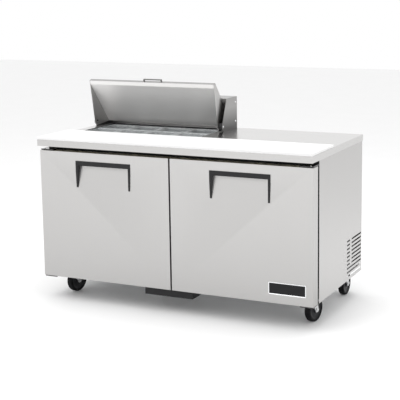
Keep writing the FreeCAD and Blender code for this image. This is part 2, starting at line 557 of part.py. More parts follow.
def door(side, sign):
    """One door: skin with its pull recess, insulated liner, gasket and pull trim."""
    def x_span(near, far):
        """A pair of X formulas, near and far being distances from the middle of the table."""
        return (near, far) if sign > 0 else (f"-({far})", f"-({near})")

    near, far = "(door_gap / 2)", SIDE_X
    middle = f"({sign} * ({near} + {far}) / 2)"
    span_z = ("door_low", DOOR_HIGH)
    outer = box(f"door_block_{side}", x_span(near, far), (DOOR_FACE, DOOR_BACK), span_z)
    hollow = box(f"door_hollow_{side}", x_span(f"{near} + door_sheet", f"{far} - door_sheet"),
                 (f"{DOOR_FACE} + door_sheet", f"{DOOR_BACK} + 1"), ("door_low + door_sheet", f"{DOOR_HIGH} - door_sheet"))

    def recess(name, grow):
        """The pull's wedge-shaped pocket, grown all round by a sheet's thickness."""
        pocket = section(name, [(f"{DOOR_FACE} - 1", f"pull_high + {grow}"), (f"{DOOR_FACE} + pull_depth + {grow}", f"pull_high + {grow}"),
                                (f"{DOOR_FACE} + pull_depth + {grow}", f"pull_high - pull_floor"),
                                (f"{DOOR_FACE} + {grow}", f"pull_low - {grow}"), (f"{DOOR_FACE} - 1", f"pull_low - {grow}")],
                         f"pull_width + 2 * {grow}")
        return put(pocket, f"{middle} - pull_width / 2 - {grow}")

    pocket_wall = doc.addObject("Part::Common", f"pocket_wall_{side}")
    pocket_wall.Base = recess(f"pocket_outside_{side}", "door_sheet")
    pocket_wall.Tool = box(f"pocket_limit_{side}", x_span(near, far), (DOOR_FACE, DOOR_BACK), span_z)
    shell = fuse(f"door_shell_{side}", cut(f"door_tray_{side}", outer, hollow), pocket_wall)

    def pin_bores(name):
        """The holes for the hinge pins, in the top and the bottom of the door."""
        return [rod(f"{name}_low_{side}", "z", "hinge_pin + hinge_play", "hinge_reach + 2", f"{sign} * {HINGE_X}",
                    HINGE_Y, "door_low - 1"),
                rod(f"{name}_high_{side}", "z", "hinge_pin + hinge_play", "hinge_reach + 2", f"{sign} * {HINGE_X}",
                    HINGE_Y, f"{DOOR_HIGH} - hinge_reach - 1")]

    node(f"door_skin_{side}", cut(f"door_skin_{side}", shell, recess(f"pocket_inside_{side}", "0"), *pin_bores("skin_bore")))

    core = box(f"door_core_{side}", x_span(f"{near} + door_sheet", f"{far} - door_sheet"),
               (f"{DOOR_FACE} + door_sheet", DOOR_BACK), ("door_low + door_sheet", f"{DOOR_HIGH} - door_sheet"))
    raised = box(f"door_raised_{side}", x_span(f"{near} + panel_border", f"{far} - panel_border - 20"),
                 (f"{DOOR_BACK} - 1", f"{DOOR_BACK} + panel_raise"), ("door_low + gasket_low + 40", f"{DOOR_HIGH} - panel_border"))
    node(f"door_liner_{side}", cut(f"door_liner_{side}", fuse(f"door_inner_{side}", core, raised),
                                   recess(f"pocket_core_{side}", "door_sheet"), *pin_bores("core_bore")))

    ring = box(f"gasket_block_{side}", x_span(f"{near} + gasket_centre", f"{far} - gasket_inset"),
               (DOOR_BACK, f"{DOOR_BACK} + gasket_thick"), ("door_low + gasket_low", f"{DOOR_HIGH} - gasket_top"))
    hole = box(f"gasket_hole_{side}", x_span(f"{near} + gasket_centre + gasket_width", f"{far} - gasket_inset - gasket_width"),
               (f"{DOOR_BACK} - 1", f"{DOOR_BACK} + gasket_thick + 1"),
               ("door_low + gasket_low + gasket_width", f"{DOOR_HIGH} - gasket_top - gasket_width"))
    node(f"door_gasket_{side}", cut(f"door_gasket_{side}", ring, hole))

    face = box(f"trim_face_{side}", (f"{middle} - trim_width / 2", f"{middle} + trim_width / 2"),
               (f"{DOOR_FACE} - trim_proud", DOOR_FACE), ("trim_low", "trim_high"))
    window = section(f"trim_window_{side}", [("-pull_width / 2 + trim_lining", "trim_low - 1"), ("pull_width / 2 - trim_lining", "trim_low - 1"),
                                             ("pull_width / 2 - trim_lining", "trim_high - trim_bar"),
                                             ("-pull_width / 2 + trim_lining", "trim_high - trim_bar")], "trim_proud + 2", "XZ_Plane")
    put(window, middle, f"{DOOR_FACE} + 1")
    corners = [section(f"trim_corner_{side}_{edge}", [(f"{way} * (trim_width / 2 + 1)", "trim_low - 1"), (f"{way} * (trim_width / 2 + 1)", "trim_high - trim_bar"),
                                                      (f"{way} * (trim_width / 2 - trim_leg)", "trim_low - 1")][::way], "trim_proud + 2", "XZ_Plane")
               for edge, way in (("left", -1), ("right", 1))]
    for corner in corners:
        put(corner, middle, f"{DOOR_FACE} + 1")
    lip = box(f"trim_lip_{side}", (f"{middle} - pull_width / 2", f"{middle} + pull_width / 2"),
              (f"{DOOR_FACE} - 1", f"{DOOR_FACE} + pull_depth"), ("pull_high - trim_lip", "pull_high"))
    cheeks = []
    for edge, low in (("left", f"{middle} - pull_width / 2"), ("right", f"{middle} + pull_width / 2 - trim_lining")):
        cheek = section(f"trim_cheek_{side}_{edge}", [(f"{DOOR_FACE} - 1", "pull_high"), (f"{DOOR_FACE} + pull_depth", "pull_high"),
                                                      (f"{DOOR_FACE} + pull_depth", "pull_high - pull_floor"),
                                                      (DOOR_FACE, "pull_low"), (f"{DOOR_FACE} - 1", "pull_low")], "trim_lining")
        cheeks.append(put(cheek, low))
    node(f"door_handle_{side}", fuse(f"door_handle_{side}", cut(f"trim_frame_{side}", face, window, *corners), lip, *cheeks))


def hinge_brackets():
    """A bracket and its pin above and below each door, on the front frame."""
    brackets = []
    for side, sign in (("left", -1), ("right", 1)):
        for level, low, wall_low, wall_high, pin_low in (
                ("top", f"({DOOR_HIGH} + hinge_plate_gap)", f"({DOOR_HIGH} - gasket_top + 2)",
                 f"({DOOR_HIGH} + hinge_plate_gap + 1)", f"({DOOR_HIGH} - hinge_reach)"),
                ("bottom", "(door_low - hinge_plate_gap - hinge_plate)", "(door_low - hinge_plate_gap - 1)",
                 "(door_low + gasket_low - 4)", "(door_low - hinge_plate_gap - 1)")):
            name = f"hinge_{side}_{level}"
            inner, outer = f"({SIDE_X} - hinge_plate_long)", f"({SIDE_X} - 2)"
            span = (inner, outer) if sign > 0 else (f"-{outer}", f"-{inner}")
            plate = box(name + "_plate", span, (f"{DOOR_FACE} + 5", "-frame_front"), (low, f"{low} + hinge_plate"))
            wall = box(name + "_wall", span, ("-frame_front - 4", "-frame_front"), (wall_low, wall_high))
            pin = rod(name + "_pin", "z", "hinge_pin", "hinge_reach + hinge_plate_gap + 1", f"{sign} * {HINGE_X}", HINGE_Y, pin_low)
            brackets.append(fuse(name, plate, wall, pin))
    node("hinge_brackets", group("hinge_brackets", *brackets))


# ---- castors ----

CASTORS = [("front_left", -1, "-castor_front", True), ("front_right", 1, "-castor_front", True),
           ("rear_left", -1, "castor_rear", False), ("rear_right", 1, "castor_rear", False)]
CROWN_HIGH = "(base_low - plate_thick - swivel_play)"


def castors():
    """Four swivel castors: a fixed plate, a trailing fork, a wheel, and a brake pedal on each front one."""
    plates = []
    for place, sign, y, braked in CASTORS:
        x = f"({sign} * castor_x)"
        plates.append(box(f"castor_plate_{place}", (f"{x} - plate_width / 2", f"{x} + plate_width / 2"),
                          (f"{y} - plate_length / 2", f"{y} + plate_length / 2"), ("base_low - plate_thick", "base_low")))
        turn = "castor_toe" if braked else "0"

        def swivelled(piece):
            """Put a piece drawn about the swivel axis at its castor, turned by the toe angle."""
            piece.Placement = FreeCAD.Placement(Vector(), Rotation(Vector(0, 0, 1), 1))
            piece.setExpression("Placement.Rotation.Angle", bound(f"-{turn} * 1 deg"))
            return put(piece, x, y)

        crown = rod(f"crown_{place}", "z", "crown_radius", "crown_high", 0, 0, f"{CROWN_HIGH} - crown_high")
        leg = [("-crown_radius + 4", f"{CROWN_HIGH} - crown_high"), ("crown_radius", f"{CROWN_HIGH} - crown_high"),
               ("castor_trail + 14", "wheel_radius - 6"), ("castor_trail + 8", "wheel_radius - 14"),
               ("castor_trail - 8", "wheel_radius - 14"), ("castor_trail - 14", "wheel_radius - 6")]
        bridge = box(f"bridge_{place}", ("-fork_width / 2", "fork_width / 2"), ("-crown_radius + 4", "crown_radius"),
                     (f"{CROWN_HIGH} - crown_high - fork_sheet", f"{CROWN_HIGH} - crown_high"))
        legs = [put(section(f"leg_{place}_{edge}", leg, "fork_sheet"), low)
                for edge, low in (("left", "-fork_width / 2"), ("right", "fork_width / 2 - fork_sheet"))]
        axle = rod(f"axle_{place}", "x", "axle_radius", "fork_width + 10", "-fork_width / 2 - 5", "castor_trail", "wheel_radius")
        node(f"castor_fork_{place}", swivelled(fuse(f"castor_fork_{place}", crown, bridge, *legs, axle)))

        tyre = rod(f"tyre_{place}", "x", "wheel_radius", "wheel_width", "-wheel_width / 2", "castor_trail", "wheel_radius")
        doc.recompute()
        rounded = doc.addObject("Part::Fillet", f"tyre_round_{place}")
        rounded.Base = tyre
        rounded.Edges = [(i + 1, size("tyre_round"), size("tyre_round")) for i, edge in enumerate(tyre.Shape.Edges) if edge.Closed]
        faces = [rod(f"dish_{place}_{i}", "x", "wheel_radius - tyre_wall", "dish_depth + 1", low, "castor_trail", "wheel_radius")
                 for i, low in enumerate(("-wheel_width / 2 - 1", "wheel_width / 2 - dish_depth"))]
        hub = rod(f"hub_{place}", "x", "hub_radius", "fork_width - 2 * fork_sheet - fork_gap / 2",
                  "-fork_width / 2 + fork_sheet + fork_gap / 4", "castor_trail", "wheel_radius")
        bore = rod(f"hub_bore_{place}", "x", "axle_radius + axle_play", "fork_width + 20", "-fork_width / 2 - 10",
                   "castor_trail", "wheel_radius")
        node(f"castor_wheel_{place}", swivelled(cut(f"castor_wheel_{place}", fuse(f"wheel_body_{place}",
                                                    cut(f"wheel_dished_{place}", rounded, *faces), hub), bore)))
        if braked:
            pad = box(f"pedal_pad_{place}", ("-fork_width / 2 + 6", "fork_width / 2 - 6"), ("castor_trail + pedal_reach", "castor_trail + pedal_reach + pedal_long"),
                      ("wheel_radius + pedal_rise", "wheel_radius + pedal_rise + pedal_sheet + 1"))
            arm_y = ("crown_radius + 6", "castor_trail + pedal_reach + 4")
            arms = [box(f"pedal_arm_{place}_{i}", (low, f"{low} + pedal_sheet"), arm_y,
                        ("wheel_radius + pedal_rise + 1", "wheel_radius + pedal_rise + pedal_height"))
                    for i, low in enumerate(("-fork_width / 2 - 4", "fork_width / 2 + 1"))]
            yoke = box(f"pedal_yoke_{place}", ("-fork_width / 2 - 4", "fork_width / 2 + 4"), ("castor_trail + pedal_reach", "castor_trail + pedal_reach + 6"),
                       ("wheel_radius + pedal_rise", "wheel_radius + pedal_rise + pedal_height"))
            node(f"brake_pedal_{place}", swivelled(fuse(f"brake_pedal_{place}", pad, yoke, *arms)))
    node("castor_plates", group("castor_plates", *plates))


# ---- inside the cabinet ----

def wire_shelf(name):
    """A welded wire shelf, as one shape about its left front corner."""
    wide, deep = size(f"{LINER_X} - mullion_width / 2 - 2 * shelf_margin"), size("shelf_depth")
    thick, wire, count = size("shelf_frame"), size("shelf_wire"), int(size("shelf_wires"))
    bars = [Part.makeCylinder(thick, wide, Vector(0, y, 0), Vector(1, 0, 0)) for y in (0, deep)]
    bars += [Part.makeCylinder(thick, deep, Vector(x, 0, 0), Vector(0, 1, 0)) for x in (0, wide / 2, wide)]
    bars += [Part.makeSphere(thick, Vector(x, y, 0)) for x in (0, wide) for y in (0, deep)]
    bars += [Part.makeCylinder(wire, deep, Vector(wide * (i + 1) / (count + 1), 0, thick * 0.8), Vector(0, 1, 0))
             for i in range(count)]
    piece = doc.addObject("Part::Feature", name)
    piece.Shape = bars[0].multiFuse(bars[1:])
    return piece


def shelves():
    """Two wire shelves behind each door, on slotted standards with clips."""
    pieces, standards = [], []
    for side, left in (("left", f"(shelf_margin - {LINER_X})"), ("right", "(mullion_width / 2 + shelf_margin)")):
        for level in range(2):
            shelf = wire_shelf(f"shelf_{side}_{level}")
            put(shelf, left, f"{FRAME_BACK} + 14", f"shelf_low + {level} * shelf_pitch")
            pieces.append(shelf)
    for side, face in (("left", -1), ("right", 1)):
        for end, y in (("front", f"{FRAME_BACK} + 30"), ("back", f"{FRAME_BACK} + 320")):
            wall = (f"{LINER_X} - standard_thick", LINER_X) if face > 0 else (f"-{LINER_X}", f"standard_thick - {LINER_X}")
            standards.append(box(f"standard_{side}_{end}", wall, (y, f"{y} + standard_width"),
                                 ("shelf_low - 20", "interior_ceiling - 20")))
    node("wire_shelves", group("wire_shelves", *pieces))
    node("shelf_standards", group("shelf_standards", *standards))


def fins(name, x, y, z, pitch_count):
    """A finned coil block with header plates at both ends of X."""
    core = box(name + "_core", (f"{x[0]} + 3", f"{x[1]} - 3"), (f"{y[0]} + 3", f"{y[1]} - 3"), (f"{z[0]} + 3", f"{z[1]} - 3"))
    ends = [box(f"{name}_end_{i}", span, y, z) for i, span in enumerate(((x[0], f"{x[0]} + 3"), (f"{x[1]} - 3", x[1])))]
    ribs = [box(f"{name}_rib_{i}", x, y, (f"{z[0]} + {i} * ({z[1]} - {z[0]} - 2) / {pitch_count}",
                                        f"{z[0]} + {i} * ({z[1]} - {z[0]} - 2) / {pitch_count} + 2"))
            for i in range(pitch_count + 1)]
    return fuse(name, core, *ends, *ribs)


def bladed_fan(name, axis):
    """A five-blade rotor about its own axis, as one shape."""
    radius, hub, thick = size("fan_radius"), size("fan_hub"), size("fan_thick")
    parts = [Part.makeCylinder(hub, thick)]
    for i in range(5):
        blade = Part.makeBox(radius - hub + 3, 30, 2, Vector(hub - 3, -15, -1))
        blade.rotate(Vector(), Vector(1, 0, 0), 22)
        blade.translate(Vector(0, 0, thick / 2))
        blade.rotate(Vector(), Vector(0, 0, 1), 72 * i)
        parts.append(blade)
    piece = doc.addObject("Part::Feature", name)
    piece.Shape = parts[0].multiFuse(parts[1:])
    piece.Placement = FreeCAD.Placement(Vector(), TURNS[axis])
    return piece


COIL_Y, COIL_Z = "((coil_left + coil_right) / 2)", "((coil_low + interior_ceiling) / 2)"
UNIT_FLOOR = f"({FLOOR_HIGH} + unit_plate)"
CONDENSER_Z = "(machine_top - condenser_drop)"


def evaporator():
    """The coil, its box and fan under the ceiling, and the temperature control on its front."""
    outer = box("coil_box_outer", ("coil_left", "coil_right"), ("coil_front", "interior_back - 2"), ("coil_low", "interior_ceiling - 1"))
    inner = box("coil_box_inner", ("coil_left + coil_sheet", "coil_right - coil_sheet"), ("coil_front + coil_sheet", "interior_back - 1"),
                ("coil_low + coil_sheet", "interior_ceiling - 1 - coil_sheet"))
    mouth = rod("coil_box_mouth", "y", "fan_radius + fan_play", "20", COIL_Y, "coil_front - 5", COIL_Z)
    node("evaporator_housing", cut("evaporator_housing", outer, inner, mouth))
    node("evaporator_coil", fins("evaporator_coil", ("(coil_left + 15)", "(coil_right - 15)"), ("(interior_back - 80)", "(interior_back - 12)"),
                                 ("(coil_low + 8)", "(interior_ceiling - 10)"), 16))
    node("evaporator_fan", put(bladed_fan("evaporator_fan", "y"), COIL_Y, "coil_front - 4", COIL_Z))
    node("control_box", box("control_box", ("coil_left + 8", "coil_left + 8 + control_size"), ("coil_front - 28", "coil_front"),
                            (f"{COIL_Z} - control_size / 2", f"{COIL_Z} + control_size / 2")))
    knob = cut("knob", rod("knob_body", "y", "knob_radius", "knob_thick", "coil_left + 8 + control_size / 2", "coil_front - 40.5", COIL_Z),
               box("knob_mark", ("coil_left + 7 + control_size / 2", "coil_left + 9 + control_size / 2"), ("coil_front - 42", "coil_front - 39.5"), (COIL_Z, f"{COIL_Z} + 15")))
    node("thermostat_knob", knob)


def condensing_unit():
    """The compressor, condenser and fan on a plate at the back right, with their motors and pipes."""
    node("unit_base_plate", box("unit_base_plate", ("machine_left + 15", f"{SIDE_IN} - 8"), ("machine_front + 10", f"{BACK_Y} - 12"),
                                (FLOOR_HIGH, UNIT_FLOOR)))
    can = rod("can", "z", "compressor_radius", "compressor_high", "compressor_x", "compressor_y", "compressor_low")
    doc.recompute()
    domed = doc.addObject("Part::Fillet", "can_domed")
    domed.Base = can
    radius = size("compressor_radius") * 0.45
    domed.Edges = [(i + 1, radius, radius) for i, edge in enumerate(can.Shape.Edges) if edge.Closed]
    feet = box("can_feet", ("compressor_x - 70", "compressor_x + 70"), ("compressor_y - 40", "compressor_y + 40"),
               (UNIT_FLOOR, "compressor_low + 14"))
    node("compressor", fuse("compressor", domed, feet))
    node("condenser_coil", fins("condenser_coil", ("(condenser_x)", "(condenser_x + condenser_thick)"), ("(machine_front + 30)", "(machine_front + 30 + condenser_width)"),
                                (f"({UNIT_FLOOR})", "(machine_top - 10)"), 14))
    fan_y = "(machine_front + 30 + condenser_width / 2 - 0.5)"
    node("condenser_fan", put(bladed_fan("condenser_fan", "x"), "condenser_x - fan_thick - 8", fan_y, CONDENSER_Z))
    motors = [fuse("evaporator_motor", rod("evaporator_motor_body", "y", "24", "40", COIL_Y, "coil_front - 4 + fan_thick + 1.5", COIL_Z),
                   box("evaporator_motor_bracket", (f"{COIL_Y} - 75", f"{COIL_Y} + 75"), ("coil_front + fan_thick + 20", "coil_front + fan_thick + 23"),
                       (f"{COIL_Z} - 8", f"{COIL_Z} + 8")),
                   *[box(f"evaporator_motor_leg_{i}", (low, f"{low} + 3"), ("coil_front + coil_sheet", "coil_front + fan_thick + 23"),
                         (f"{COIL_Z} - 8", f"{COIL_Z} + 8")) for i, low in enumerate((f"({COIL_Y} - 75)", f"({COIL_Y} + 72)"))]),
              fuse("condenser_motor", rod("condenser_motor_body", "x", "20", "26", "condenser_x - fan_thick - 8 - 27.5", fan_y, CONDENSER_Z),
                   box("condenser_motor_post", ("condenser_x - fan_thick - 30", "condenser_x - fan_thick - 20"), (f"{fan_y} - 12", f"{fan_y} + 12"),
                       (UNIT_FLOOR, CONDENSER_Z)))]
    node("fan_motors", group("fan_motors", *motors))
    node("refrigerant_pipes", group("refrigerant_pipes", *[pipe(f"pipe_{i}", points) for i, points in enumerate(pipe_routes())]))


def pipe_routes():
    """The corners of each pipe: discharge to the condenser, and suction down from the ceiling of the machine space."""
    x, y, high = size("compressor_x"), size("compressor_y"), size("compressor_low") + size("compressor_high")
    right, roof = size("condenser_x") + size("condenser_thick") / 2, size("machine_top")
    back = size("machine_front + 30 + condenser_width") + 2
    return [[(x + 30, y + 40, high - 22), (x + 30, y + 40, high + 6), (x + 30, back + 2, high + 6),
             (right, back + 2, high + 6), (right, back + 2, high - 60)],
            [(x - 35, y + 30, high - 22), (x - 35, y + 30, high + 8), (x - 120, y + 30, high + 8), (x - 120, y + 30, roof)]]


def pipe(name, corners):
    """A copper pipe: straight runs joined by tangent arcs."""
    bend, points = 3 * size("pipe_radius"), [Vector(*corner) for corner in corners]
    edges, here = [], points[0]
    for before, corner, after in zip(points, points[1:], points[2:]):
        to_back, to_next = (before - corner).normalize(), (after - corner).normalize()
        start, end = corner + to_back * min(bend, 0.45 * (before - corner).Length), None
        reach = (start - corner).Length
        end = corner + to_next * reach
        middle = corner + (to_back + to_next).normalize() * reach * (math.sqrt(2) - 1)
        edges += [Part.LineSegment(here, start).toShape(), Part.Arc(start, middle, end).toShape()]
        here = end
    edges.append(Part.LineSegment(here, points[-1]).toShape())
    way = (points[1] - points[0]).normalize()
    profile = Part.Wire([Part.makeCircle(size("pipe_radius"), points[0], way)])
    piece = doc.addObject("Part::Feature", name)
    piece.Shape = Part.Wire(edges).makePipeShell([profile], True, False)
    return piece


def screws():
    """Round-headed screws on the hood sides and the hinge brackets."""
    heads = []
    for i, (y, z) in enumerate(((f"({HALF_D} - 22)", f"({TOP} + 42)"), (f"({HALF_D} - 22)", f"({HOOD_HIGH} - 30)"))):
        heads.append(rod(f"hood_screw_right_{i}", "x", "5", "3", "hood_right", y, z))
        heads.append(rod(f"hood_screw_left_{i}", "x", "5", "2.5", "-hood_left - 2.5", y, z))
    heads.append(rod("pivot_screw_right", "x", "6", "3", "hood_right", "pivot_y", PIVOT_Z))
    heads.append(rod("pivot_screw_left", "x", "6", "2.5", "-hood_left - 2.5", "pivot_y", PIVOT_Z))
    node("screws", group("screws", *heads))


for make in (worktop, cutting_board, side_panels, back_panel, liner_and_insulation, front_frame, base_frame, condensate_tray,
             well_liner, pan_rails, food_pans, hood, lid, hinge_brackets, castors, shelves, evaporator, condensing_unit, screws):
    make()
for side, sign in (("left", -1), ("right", 1)):
    door(side, sign)
doc.recompute()

faults = [item.Label for item in doc.Objects if "Invalid" in item.State or "Error" in item.State]
for name, piece in NODES.items():
    shape = piece.Shape
    if shape.isNull() or not shape.isValid() or not shape.Solids:
        faults.append(name)
if faults:
    raise SystemExit("failed objects: " + ", ".join(faults))

os.makedirs("parts", exist_ok=True)
for name, piece in NODES.items():
    piece.Shape.exportStep(f"parts/{name}.step")
    print(f"{name}: {len(piece.Shape.Solids)} solids, {piece.Shape.Volume / 1000:.1f} cm3")
print(len(NODES), "nodes")
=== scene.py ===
# %% [markdown]
# # A sandwich prep table, piece by piece
# This lesson dresses a measured model of a refrigerated prep table. The sizes, the joints and the places all
# come from the model; the cells below round its edges, add the small shaped pieces that sheet metal,
# rubber and plastic need, and give every surface a finish of its own.

# %% Load the measured model
import json
import math

import bmesh
import bpy
import numpy as np
from mathutils import Matrix, Vector


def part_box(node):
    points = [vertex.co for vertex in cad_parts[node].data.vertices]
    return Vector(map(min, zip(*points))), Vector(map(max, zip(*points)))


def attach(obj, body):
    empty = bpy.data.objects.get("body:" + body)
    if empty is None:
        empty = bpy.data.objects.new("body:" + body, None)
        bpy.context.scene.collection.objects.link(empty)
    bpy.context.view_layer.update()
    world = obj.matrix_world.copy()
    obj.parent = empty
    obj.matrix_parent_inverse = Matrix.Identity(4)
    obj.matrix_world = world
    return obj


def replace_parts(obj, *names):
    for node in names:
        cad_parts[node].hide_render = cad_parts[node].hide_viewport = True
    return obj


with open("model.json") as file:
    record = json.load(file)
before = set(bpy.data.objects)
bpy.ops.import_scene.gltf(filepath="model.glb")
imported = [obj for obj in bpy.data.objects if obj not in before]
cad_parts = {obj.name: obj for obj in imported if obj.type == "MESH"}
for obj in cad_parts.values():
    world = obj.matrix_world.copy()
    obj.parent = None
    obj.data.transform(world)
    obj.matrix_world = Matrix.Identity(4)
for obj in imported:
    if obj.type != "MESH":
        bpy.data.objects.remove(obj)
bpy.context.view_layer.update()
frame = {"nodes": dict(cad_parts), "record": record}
NODES = frame["nodes"]
SLOT_OF = {part["node"]: part["material_slot"] for part in frame["record"]["subparts"]}
BODY_OF = {node: body for body, nodes in frame["record"]["behaviour"]["bodies"].items() for node in nodes}
MM = 0.001

# %% [markdown]
# ## Camera
# A product picture of a table this long is taken from far away with a long lens, so that the sides hardly
# converge. The camera stands to the right of the front, a little above the worktop. The lens is shifted
# a little instead of turned, which keeps the uprights nearly upright.

# %% Place the camera
AZIMUTH, ELEVATION, ROLL = math.radians(24.982), math.radians(9.104), -0.01157
DISTANCE, LENS, SENSOR = 5.6129, 96.868, 36.0
AIM = np.array([0.1400, 0.0, 0.8019])
SHIFT = (-0.0625, -0.125)


def camera_axes(azimuth, elevation, roll):
    """The camera's right, up and backward directions: a turn round Z, a tilt, and a roll about the view."""
    back = np.array([math.sin(azimuth) * math.cos(elevation), -math.cos(azimuth) * math.cos(elevation),
                     math.sin(elevation)])
    right = np.array([math.cos(azimuth), math.sin(azimuth), 0.0])
    up = np.cross(back, right)
    return right * math.cos(roll) + up * math.sin(roll), up * math.cos(roll) - right * math.sin(roll), back


lens = bpy.data.cameras.new("camera")
lens.lens, lens.sensor_width, lens.shift_x, lens.shift_y = LENS, SENSOR, *SHIFT
lens.clip_end = 50.0
camera = bpy.data.objects.new("camera", lens)
bpy.context.scene.collection.objects.link(camera)
right, up, back = camera_axes(AZIMUTH, ELEVATION, ROLL)
place = AIM + back * DISTANCE
axes = np.stack([right, up, back], axis=1)
camera.matrix_world = Matrix([[*row, p] for row, p in zip(axes, place)] + [[0, 0, 0, 1]])
bpy.context.scene.camera = camera
bpy.context.scene.view_settings.view_transform = "Standard"
print("camera at", np.round(place, 3))

# %% [markdown]
# ## Shader maths as Python
# A finish is a small program. Wrapping a socket in a class with operators lets it be written as one:
# `0.4 + grain * 0.1` adds the Math nodes that say so. Numbers that are the same all over a surface are
# set on the shader itself, and only what changes over the surface is linked.

# %% The socket and finish classes


class Socket:
    """An output socket that can be added and multiplied."""

    def __init__(self, finish, output):
        self.finish, self.output = finish, output

    def combine(self, operation, *others):
        return self.finish.node("ShaderNodeMath", {"operation": operation}, self, *others)

    def __add__(self, other): return self.combine("ADD", other)
    def __mul__(self, other): return self.combine("MULTIPLY", other)
    __radd__, __rmul__ = __add__, __mul__


class Finish:
    """One material: a Principled shader, and the nodes that vary its look over the surface."""

    def __init__(self, name, **numbers):
        self.material = bpy.data.materials.new(name)
        self.material.use_nodes = True
        self.tree = self.material.node_tree
        self.shader = self.tree.nodes["Principled BSDF"]
        for socket, value in numbers.items():
            title = socket if socket == "IOR" else socket.replace("_", " ").title().replace("Ior", "IOR")
            self.shader.inputs[title].default_value = value
        self.place = self.node("ShaderNodeTexCoord", {}, output="Object")

    def node(self, kind, settings, *inputs, output=0, **named):
        """A node of one kind: its settings first, then its sockets' values or links, in order or by name."""
        node = self.tree.nodes.new(kind)
        for setting, value in settings.items():
            if setting == "stops":
                for stop, (position, colour) in zip([*node.color_ramp.elements], value):
                    stop.position, stop.color = position, colour
            else:
                setattr(node, setting, value)
        by_name = [(name.replace("_", " "), item) for name, item in named.items()]
        for key, value in [*enumerate(inputs), *by_name]:
            if isinstance(value, Socket):
                self.tree.links.new(value.output, node.inputs[key])
            else:
                node.inputs[key].default_value = value
        return Socket(self, node.outputs[output])

    def stretched(self, scale):
        """The object's own coordinates, multiplied along each axis."""
        return self.node("ShaderNodeMapping", {}, Vector=self.place, Scale=scale)

    def noise(self, scale, detail=4.0, rough=0.6, size=1.0):
        """Noise over coordinates stretched by scale, centred on a half."""
        return self.node("ShaderNodeTexNoise", {}, output="Fac", Vector=self.stretched(scale), Scale=size,
                         Detail=detail, Roughness=rough)

    def mix(self, factor, first, second):
        """A colour between two colours, by a factor from 0 to 1."""
        node = self.tree.nodes.new("ShaderNodeMix")
        node.data_type = "RGBA"
        for index, value in ((0, factor), (6, first), (7, second)):
            if isinstance(value, Socket):
                self.tree.links.new(value.output, node.inputs[index])
            else:
                node.inputs[index].default_value = value
        return Socket(self, node.outputs[2])

    def wear(self, colour, rough, bump, strength=0.1, distance=0.0004):
        """Link what varies: the colour, the roughness and the fine relief."""
        for socket, value in (("Base Color", colour), ("Roughness", rough)):
            if value is not None:
                self.tree.links.new(value.output, self.shader.inputs[socket])
        if bump is not None:
            relief = self.node("ShaderNodeBump", {}, Strength=strength, Distance=distance, Height=bump)
            self.tree.links.new(relief.output, self.shader.inputs["Normal"])
        return self.material


def grey(value, warmth=0.0):
    """A colour from one brightness, a touch warmer or cooler."""
    return (value * (1 + warmth), value, value * (1 - warmth), 1.0)


print("classes ready")

# %% [markdown]
# ## Brushed stainless steel
# The cabinet is thin steel that was brushed with a belt. The belt leaves fine scratches one way only, so the
# noise is stretched hundreds of times along that way. The scratches vary the roughness and the relief,
# and a slow, faint cloudiness stands for the sheet's own unevenness and for wiped hands.
# Some copies of the one steel differ only in brightness. The darker copies and the darkened bands are painted
# shade, and the bright inside of the lid is painted light.

# %% Steel finishes


def brushed(name, brightness, rough, along, warmth=0.012, contrast=0.05, relief=0.05, metal=1.0, fade=None):
    """Satin steel with its grain along one axis: noise that is slow along it and fast across it. An optional
    last argument of (low z, high z, tone at the low end) paints shade: it darkens the steel towards the low
    end, a painted reflection of the darker floor near the bottom, and on the lid a painted shade over its top
    band."""
    finish = Finish(name, metallic=metal)
    slow, fast = 2.5, 520.0
    grain = finish.noise([slow if axis == along else fast for axis in "xyz"], detail=3.0)
    cloud = finish.noise((2.0, 2.0, 1.4), detail=3.0, rough=0.5)
    smear = finish.noise((9.0, 9.0, 5.0), detail=5.0, rough=0.65)
    colour = finish.mix(grain * 0.6 + cloud * 0.4, grey(brightness * (1 - contrast), warmth),
                        grey(brightness * (1 + contrast), warmth))
    # Painted shade: a ramp over the object's height blends the steel towards a darker tone at the first
    # height given.
    if fade:
        height = finish.node("ShaderNodeSeparateXYZ", {}, finish.place, output="Z")
        rise = finish.node("ShaderNodeMapRange", {}, height, *fade[:2])
        shaded_tone = tuple(channel * fade[2] for channel in grey(brightness, warmth)[:3]) + (1.0,)
        colour = finish.mix(rise, shaded_tone, colour)
    uneven = rough - 0.06 + grain * 0.06 + cloud * 0.03 + smear * 0.04
    return finish.wear(colour, uneven, grain, relief, 0.0002)


# Doors: painted shade, darker towards the bottom, standing in for the darker floor they reflect.
DOOR_STEEL = brushed("door_steel", 0.62, 0.36, "z", fade=(0.12, 0.84, 0.74))
SIDE_STEEL = brushed("side_steel", 0.56, 0.36, "z")
TOP_STEEL = brushed("top_steel", 0.64, 0.20, "x")
# Lid: painted shade over its top band, above 1.12 m, which damps its bright reflection.
LID_STEEL = brushed("lid_steel", 0.53, 0.33, "x", fade=(1.138, 1.120, 0.62))
# Lid inside: painted light, a brighter and less metallic copy of the steel.
LID_INSIDE = brushed("lid_inside", 0.80, 0.45, "x", metal=0.45)
# Hood cover: painted shade, a darker copy of the same steel.
HOOD_STEEL = brushed("hood_steel", 0.36, 0.28, "x")
# Hood sides: painted shade, a darker copy of the steel that darkens further towards the bottom.
CHEEK_STEEL = brushed("cheek_steel", 0.37, 0.30, "z", fade=(0.88, 0.99, 0.22))
# Painted shade: a very dark copy of the same steel, for parts that sit in shade.
SHADED_STEEL = brushed("dark_steel", 0.16, 0.30, "x")
BAR_STEEL = brushed("bar_steel", 0.62, 0.22, "x")
print("brushed steel made for the doors, sides, top, lid, hood and bars")

# %% [markdown]
# ## Plated and galvanised steel
# The castors' forks are zinc plated: bright, a little blue, with a mottled bloom. The base and back are
# galvanised, whose crystals show as pale and dark patches. A Voronoi pattern's random cell colour gives
# those patches sharp edges, as real spangle has.

# %% Zinc and galvanised finishes
COLD = -0.01


